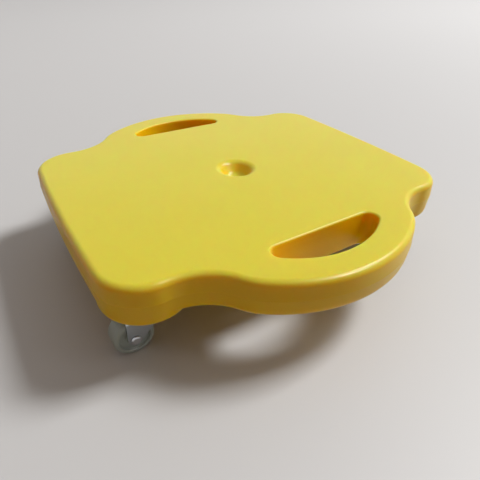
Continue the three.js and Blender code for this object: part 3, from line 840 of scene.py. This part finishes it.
def make_axle_bolt():
    end = AXLE_SEAT + NUT_THICKNESS + AXLE_TAIL
    face = -AXLE_SEAT - AXLE_HEAD_HEIGHT
    turns = math.floor((AXLE_TAIL + NUT_THICKNESS) / THREAD_PITCH)
    start = end - (turns + THREAD_START_SHARE) * THREAD_PITCH
    section = [
        (0, face, 0),
        (AXLE_HEAD_RADIUS, face, AXLE_HEAD_HEIGHT * DOME_SHARE),
        (AXLE_HEAD_RADIUS, -AXLE_SEAT, 0),
        (AXLE_RADIUS, -AXLE_SEAT, 0),
    ]
    for i in range(turns):
        foot = start + i * THREAD_PITCH
        section.append((AXLE_RADIUS, foot, 0))
        section.append((AXLE_RADIUS - THREAD_DEPTH, foot + THREAD_PITCH / 2, 0))
    section.append((AXLE_RADIUS, end - PIN_CHAMFER, 0))
    section.append((AXLE_RADIUS - PIN_CHAMFER, end, 0))
    section.append((0, end, 0))
    return onto_axle(turned("axle_bolt", rounded(section), FINE_SIDES))


def make_axle_nut():
    end = AXLE_SEAT + NUT_THICKNESS
    reach = NUT_ACROSS_FLATS / 2 / math.cos(math.pi / NUT_SIDES)
    angles = [2 * math.pi * i / NUT_SIDES for i in range(NUT_SIDES)]
    outline = [Vector((reach * math.cos(a), reach * math.sin(a))) for a in angles]
    nut = prism("axle_nut", outline, AXLE_SEAT, end)
    crest = NUT_ACROSS_FLATS / 2 * NUT_CREST_SHARE
    drop = (reach - crest) * math.tan(NUT_CHAMFER)
    chamfered = turned("chamfer", [
        (0, AXLE_SEAT),
        (crest, AXLE_SEAT),
        (reach, AXLE_SEAT + drop),
        (reach, end - drop),
        (crest, end),
        (0, end),
    ], FINE_SIDES)
    combine(nut, chamfered, "INTERSECT")
    bore = disc("bore", AXLE_RADIUS + SEAT_GAP, AXLE_SEAT - OVERRUN, end + OVERRUN, SMALL_SIDES)
    combine(nut, bore, "DIFFERENCE")
    return soften(onto_axle(nut), NUT_EDGE)


# A tapered bar across a screw's face; two of them cut its cross recess.
def recess_cutter(face, turn):
    rings = []
    for share in (1 + RECESS_TAPER_SHARE, 1 - RECESS_TAPER_SHARE):
        x = RECESS_REACH * share
        y = RECESS_WIDTH / 2 * share
        rings.append([Vector((x, y)), Vector((-x, y)), Vector((-x, -y)), Vector((x, -y))])
    wing = loft("wing", rings, [face - RECESS_DEPTH, face + RECESS_DEPTH])
    wing.data.transform(Matrix.Rotation(turn, 4, "Z"))
    return wing


def make_screw():
    seat = PLATE_UNDER - SEAT_GAP
    face = seat - SCREW_HEAD_HEIGHT
    end = PLATE_TOP + SEAT_GAP + SCREW_REACH
    section = rounded([
        (0, face, 0),
        (SCREW_HEAD_RADIUS, face, SCREW_HEAD_HEIGHT * DOME_SHARE),
        (SCREW_HEAD_RADIUS, seat, 0),
        (SCREW_RADIUS, seat, 0),
        (SCREW_RADIUS, end - SCREW_TIP, 0),
        (0, end, 0),
    ])
    screw = turned("plate_screw", section, SMALL_SIDES)
    for turn in (0, QUARTER_TURN):
        combine(screw, recess_cutter(face, turn), "DIFFERENCE")
    return screw


def middle(node):
    low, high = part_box(node)
    return (low + high) / 2


# A caster's place: on its swivel's axis, and turned so that its wheel is where the part has it.
def corner_place(corner):
    pivot = middle(f"{corner}_kingpin")
    hub = middle(f"{corner}_wheel")
    turn = math.atan2(pivot.y - hub.y, pivot.x - hub.x)
    return Matrix.Translation(Vector((pivot.x, pivot.y, 0))) @ Matrix.Rotation(turn, 4, "Z")


# Copies one made body to a node's place at each corner, in the node's stead.
def fit(body, label, material, place):
    smooth(body)
    graph = bpy.context.evaluated_depsgraph_get()
    mesh = bpy.data.meshes.new_from_object(body.evaluated_get(graph))
    mesh.materials.clear()
    mesh.materials.append(material)
    for corner in CORNERS:
        node = f"{corner}_{label}"
        piece = bpy.data.objects.new(f"{node}_finish", mesh)
        bpy.context.scene.collection.objects.link(piece)
        piece.matrix_world = corner_place(corner) @ place
        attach(piece, BODY_OF[node])
        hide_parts(node)
    bpy.data.objects.remove(body)


def make_casters(finishes):
    here = Matrix.Identity(4)
    pieces = [
        (make_plate(), "plate", "zinc_steel", here),
        (make_kingpin(), "kingpin", "bright_steel", here),
        (make_washer(), "kingpin_washer", "zinc_steel", here),
        (make_ball_race(), "ball_race", "bright_steel", here),
        (make_fork(), "fork", "zinc_steel", here),
        (make_wheel(), "wheel", "wheel_plastic", here),
        (make_bush(), "wheel_bush", "bright_steel", here),
        (make_axle_bolt(), "axle_bolt", "bright_steel", here),
        (make_axle_nut(), "axle_nut", "zinc_steel", here),
    ]
    for i, (dx, dy) in enumerate(SCREW_PLACES):
        place = Matrix.Translation(Vector((dx, dy, 0)) * MM) @ Matrix.Rotation(SCREW_TURN * i, 4, "Z")
        pieces.append((make_screw(), f"plate_screw_{i + 1}", "bright_steel", place))
    for body, label, slot, place in pieces:
        fit(body, label, finishes[slot], place)


# Materials

def new_material(name):
    material = bpy.data.materials.new(name)
    material.use_nodes = True
    nodes = material.node_tree.nodes
    return material, nodes, material.node_tree.links, nodes["Principled BSDF"]


def noise(nodes, links, scale, detail):
    place = nodes.new("ShaderNodeTexCoord")
    texture = nodes.new("ShaderNodeTexNoise")
    texture.inputs["Scale"].default_value = scale
    texture.inputs["Detail"].default_value = detail
    links.new(place.outputs["Object"], texture.inputs["Vector"])
    return texture.outputs["Fac"]


# A value carried from one range to another, and held at that range's ends.
def remap(nodes, links, source, given, wanted=(0, 1), curve="LINEAR"):
    ramp = nodes.new("ShaderNodeMapRange")
    ramp.interpolation_type = curve
    ramp.inputs["From Min"].default_value = given[0]
    ramp.inputs["From Max"].default_value = given[1]
    ramp.inputs["To Min"].default_value = wanted[0]
    ramp.inputs["To Max"].default_value = wanted[1]
    links.new(source, ramp.inputs["Value"])
    return ramp.outputs["Result"]


# A blend of two colours, each of them a fixed one or another node's result.
def mix_colours(nodes, links, factor, a, b):
    mix = nodes.new("ShaderNodeMix")
    mix.data_type = "RGBA"
    links.new(factor, mix.inputs["Factor"])
    for socket, colour in (("A", a), ("B", b)):
        if isinstance(colour, tuple):
            mix.inputs[socket].default_value = (*colour, 1)
        else:
            links.new(colour, mix.inputs[socket])
    return mix.outputs["Result"]


# Painted light: 0 on a wall, 1 on the top, by how far the surface faces up.
def painted_light_mask(nodes, links):
    shape = nodes.new("ShaderNodeNewGeometry")
    split = nodes.new("ShaderNodeSeparateXYZ")
    links.new(shape.outputs["Normal"], split.inputs["Vector"])
    return remap(nodes, links, split.outputs["Z"], PAINTED_LIGHT_UPWARD_SHARES, curve="SMOOTHSTEP")


# Painted bounce glow: 0 in the open, 1 where the piece's own walls stand close round.
def painted_bounce_mask(nodes, links):
    openness = nodes.new("ShaderNodeAmbientOcclusion")
    openness.only_local = True
    openness.samples = PAINTED_BOUNCE_SAMPLES
    openness.inputs["Distance"].default_value = PAINTED_BOUNCE_REACH * MM
    return remap(nodes, links, openness.outputs["AO"], PAINTED_BOUNCE_OPEN_SHARES)


def add_glow(shader, weight, reach):
    shader.inputs["Subsurface Weight"].default_value = weight
    shader.inputs["Subsurface Radius"].default_value = [distance * MM for distance in reach]
    shader.inputs["Subsurface Scale"].default_value = 1


def deck_material():
    material, nodes, links, shader = new_material("deck_plastic")
    clouds = noise(nodes, links, CLOUD_SCALE, CLOUD_DETAIL)
    # Painted shade and light: the wall colour is a shaded, more orange copy of the top colour, and
    # surfaces that face up get the paler, lit copy.
    wall = mix_colours(nodes, links, clouds, PAINTED_SHADE_YELLOW, PAINTED_SHADE_YELLOW_DEEP)
    top = mix_colours(nodes, links, clouds, PAINTED_LIT_YELLOW, PAINTED_LIT_YELLOW_DEEP)
    # Painted bounce glow: enclosed surfaces are turned orange, as if lit by light bounced between the
    # walls.
    painted_shade_and_bounce = mix_colours(nodes, links, painted_bounce_mask(nodes, links), wall, PAINTED_BOUNCE_ORANGE)
    painted_light_and_shade = mix_colours(nodes, links, painted_light_mask(nodes, links), painted_shade_and_bounce, top)
    links.new(painted_light_and_shade, shader.inputs["Base Color"])
    scuff = noise(nodes, links, SCUFF_SCALE, SCUFF_DETAIL)
    links.new(remap(nodes, links, scuff, (0, 1), DECK_ROUGHNESS), shader.inputs["Roughness"])
    bump = nodes.new("ShaderNodeBump")
    bump.inputs["Strength"].default_value = GRAIN_STRENGTH
    bump.inputs["Distance"].default_value = GRAIN_HEIGHT * MM
    links.new(noise(nodes, links, GRAIN_SCALE, GRAIN_DETAIL), bump.inputs["Height"])
    links.new(bump.outputs["Normal"], shader.inputs["Normal"])
    shader.inputs["IOR"].default_value = DECK_IOR
    shader.inputs["Specular IOR Level"].default_value = DECK_SPECULAR
    add_glow(shader, DECK_GLOW_WEIGHT, DECK_GLOW_REACH)
    return material


def wheel_material():
    material, nodes, links, shader = new_material("wheel_plastic")
    clouds = noise(nodes, links, WHEEL_CLOUD_SCALE, WHEEL_CLOUD_DETAIL)
    links.new(mix_colours(nodes, links, clouds, WHEEL_GREY, WHEEL_PALE), shader.inputs["Base Color"])
    shader.inputs["Roughness"].default_value = WHEEL_ROUGHNESS
    add_glow(shader, WHEEL_GLOW_WEIGHT, WHEEL_GLOW_REACH)
    return material


def steel_material(name, colour, roughness):
    material, nodes, links, shader = new_material(name)
    shader.inputs["Base Color"].default_value = (*colour, 1)
    shader.inputs["Metallic"].default_value = 1
    spangle = noise(nodes, links, SPANGLE_SCALE, SPANGLE_DETAIL)
    links.new(remap(nodes, links, spangle, (0, 1), roughness), shader.inputs["Roughness"])
    return material


# Stage

# 1 for the rays that show how a thing looks: those of the camera, of gloss and of glass.
def seen_rays(nodes, links):
    path = nodes.new("ShaderNodeLightPath")
    total = path.outputs["Is Camera Ray"]
    for kind in ("Is Glossy Ray", "Is Transmission Ray"):
        greater = nodes.new("ShaderNodeMath")
        greater.operation = "MAXIMUM"
        links.new(total, greater.inputs[0])
        links.new(path.outputs[kind], greater.inputs[1])
        total = greater.outputs["Value"]
    return total


# The floor is clear from below, so that the board's underside can be seen.
def make_floor():
    half = FLOOR_SIDE / 2
    corners = [(-half, -half, 0), (half, -half, 0), (half, half, 0), (-half, half, 0)]
    floor = mesh_object("floor", corners, [[0, 1, 2, 3]])
    material, nodes, links, shader = new_material("floor")
    shader.inputs["Roughness"].default_value = FLOOR_ROUGHNESS
    colour = mix_colours(nodes, links, seen_rays(nodes, links), FLOOR_LIT, FLOOR_SEEN)
    links.new(colour, shader.inputs["Base Color"])
    clear = nodes.new("ShaderNodeBsdfTransparent")
    side = nodes.new("ShaderNodeNewGeometry")
    mix = nodes.new("ShaderNodeMixShader")
    links.new(side.outputs["Backfacing"], mix.inputs["Fac"])
    links.new(shader.outputs["BSDF"], mix.inputs[1])
    links.new(clear.outputs["BSDF"], mix.inputs[2])
    links.new(mix.outputs["Shader"], nodes["Material Output"].inputs["Surface"])
    floor.data.materials.append(material)


def make_world():
    world = bpy.data.worlds.new("studio")
    bpy.context.scene.world = world
    world.use_nodes = True
    nodes = world.node_tree.nodes
    links = world.node_tree.links
    sight = nodes.new("ShaderNodeTexCoord")
    facing = nodes.new("ShaderNodeVectorMath")
    facing.operation = "DOT_PRODUCT"
    facing.inputs[1].default_value = SKY_COOL_SIDE
    links.new(sight.outputs["Generated"], facing.inputs[0])
    share = remap(nodes, links, facing.outputs["Value"], (-1, 1))
    levels = (SKY_STRENGTH * SKY_DIM_SHARE, SKY_STRENGTH * (2 - SKY_DIM_SHARE))
    lit = nodes["Background"]
    links.new(mix_colours(nodes, links, share, SKY_WARM, SKY_COOL), lit.inputs["Color"])
    links.new(remap(nodes, links, share, (0, 1), levels), lit.inputs["Strength"])
    seen = nodes.new("ShaderNodeBackground")
    seen.inputs["Color"].default_value = (*BACKDROP, 1)
    seen.inputs["Strength"].default_value = 1
    mix = nodes.new("ShaderNodeMixShader")
    links.new(seen_rays(nodes, links), mix.inputs["Fac"])
    links.new(lit.outputs["Background"], mix.inputs[1])
    links.new(seen.outputs["Background"], mix.inputs[2])
    links.new(mix.outputs["Shader"], nodes["World Output"].inputs["Surface"])


def area_light(name, azimuth, elevation, side, power):
    light = bpy.data.lights.new(name, "AREA")
    light.shape = "SQUARE"
    light.size = side * MM
    light.energy = power
    lamp = bpy.data.objects.new(name, light)
    bpy.context.scene.collection.objects.link(lamp)
    level = math.cos(elevation)
    away = Vector((math.cos(azimuth) * level, math.sin(azimuth) * level, math.sin(elevation)))
    lamp.location = away * LAMP_DISTANCE * MM
    lamp.rotation_euler = away.to_track_quat("Z", "Y").to_euler()
    return lamp


def make_lamps():
    area_light("window", WINDOW_AZIMUTH, WINDOW_ELEVATION, WINDOW_SIDE, WINDOW_POWER)
    glint = area_light("glint", GLINT_AZIMUTH, GLINT_ELEVATION, GLINT_SIDE, GLINT_POWER)
    glint.visible_diffuse = False


def make_camera():
    data = bpy.data.cameras.new("camera")
    data.sensor_width = SENSOR_WIDTH
    data.lens = SENSOR_WIDTH * FOCAL_PIXELS / PHOTO_WIDTH
    data.clip_start = CLIP_START * MM
    data.clip_end = CLIP_END * MM
    camera = bpy.data.objects.new("camera", data)
    bpy.context.scene.collection.objects.link(camera)
    level = math.cos(VIEW_ELEVATION)
    right = Vector((math.cos(VIEW_AZIMUTH), math.sin(VIEW_AZIMUTH), 0))
    back = Vector((right.y * level, -right.x * level, math.sin(VIEW_ELEVATION)))
    up = back.cross(right)
    target = Vector((0, 0, DECK_TOP))
    place = target + right * VIEW_RIGHT + up * VIEW_UP + back * VIEW_DISTANCE
    rolled_right = right * math.cos(VIEW_ROLL) + up * math.sin(VIEW_ROLL)
    rolled_up = up * math.cos(VIEW_ROLL) - right * math.sin(VIEW_ROLL)
    axes = Matrix((rolled_right, rolled_up, back)).transposed().to_4x4()
    camera.matrix_world = Matrix.Translation(place * MM) @ axes
    bpy.context.scene.camera = camera


make_camera()
make_floor()
make_world()
make_lamps()
make_deck(deck_material())
make_casters({
    "wheel_plastic": wheel_material(),
    "zinc_steel": steel_material("zinc_steel", ZINC_GREY, ZINC_ROUGHNESS),
    "bright_steel": steel_material("bright_steel", BRIGHT_GREY, BRIGHT_ROUGHNESS),
})

bpy.context.scene.view_settings.view_transform = "Standard"
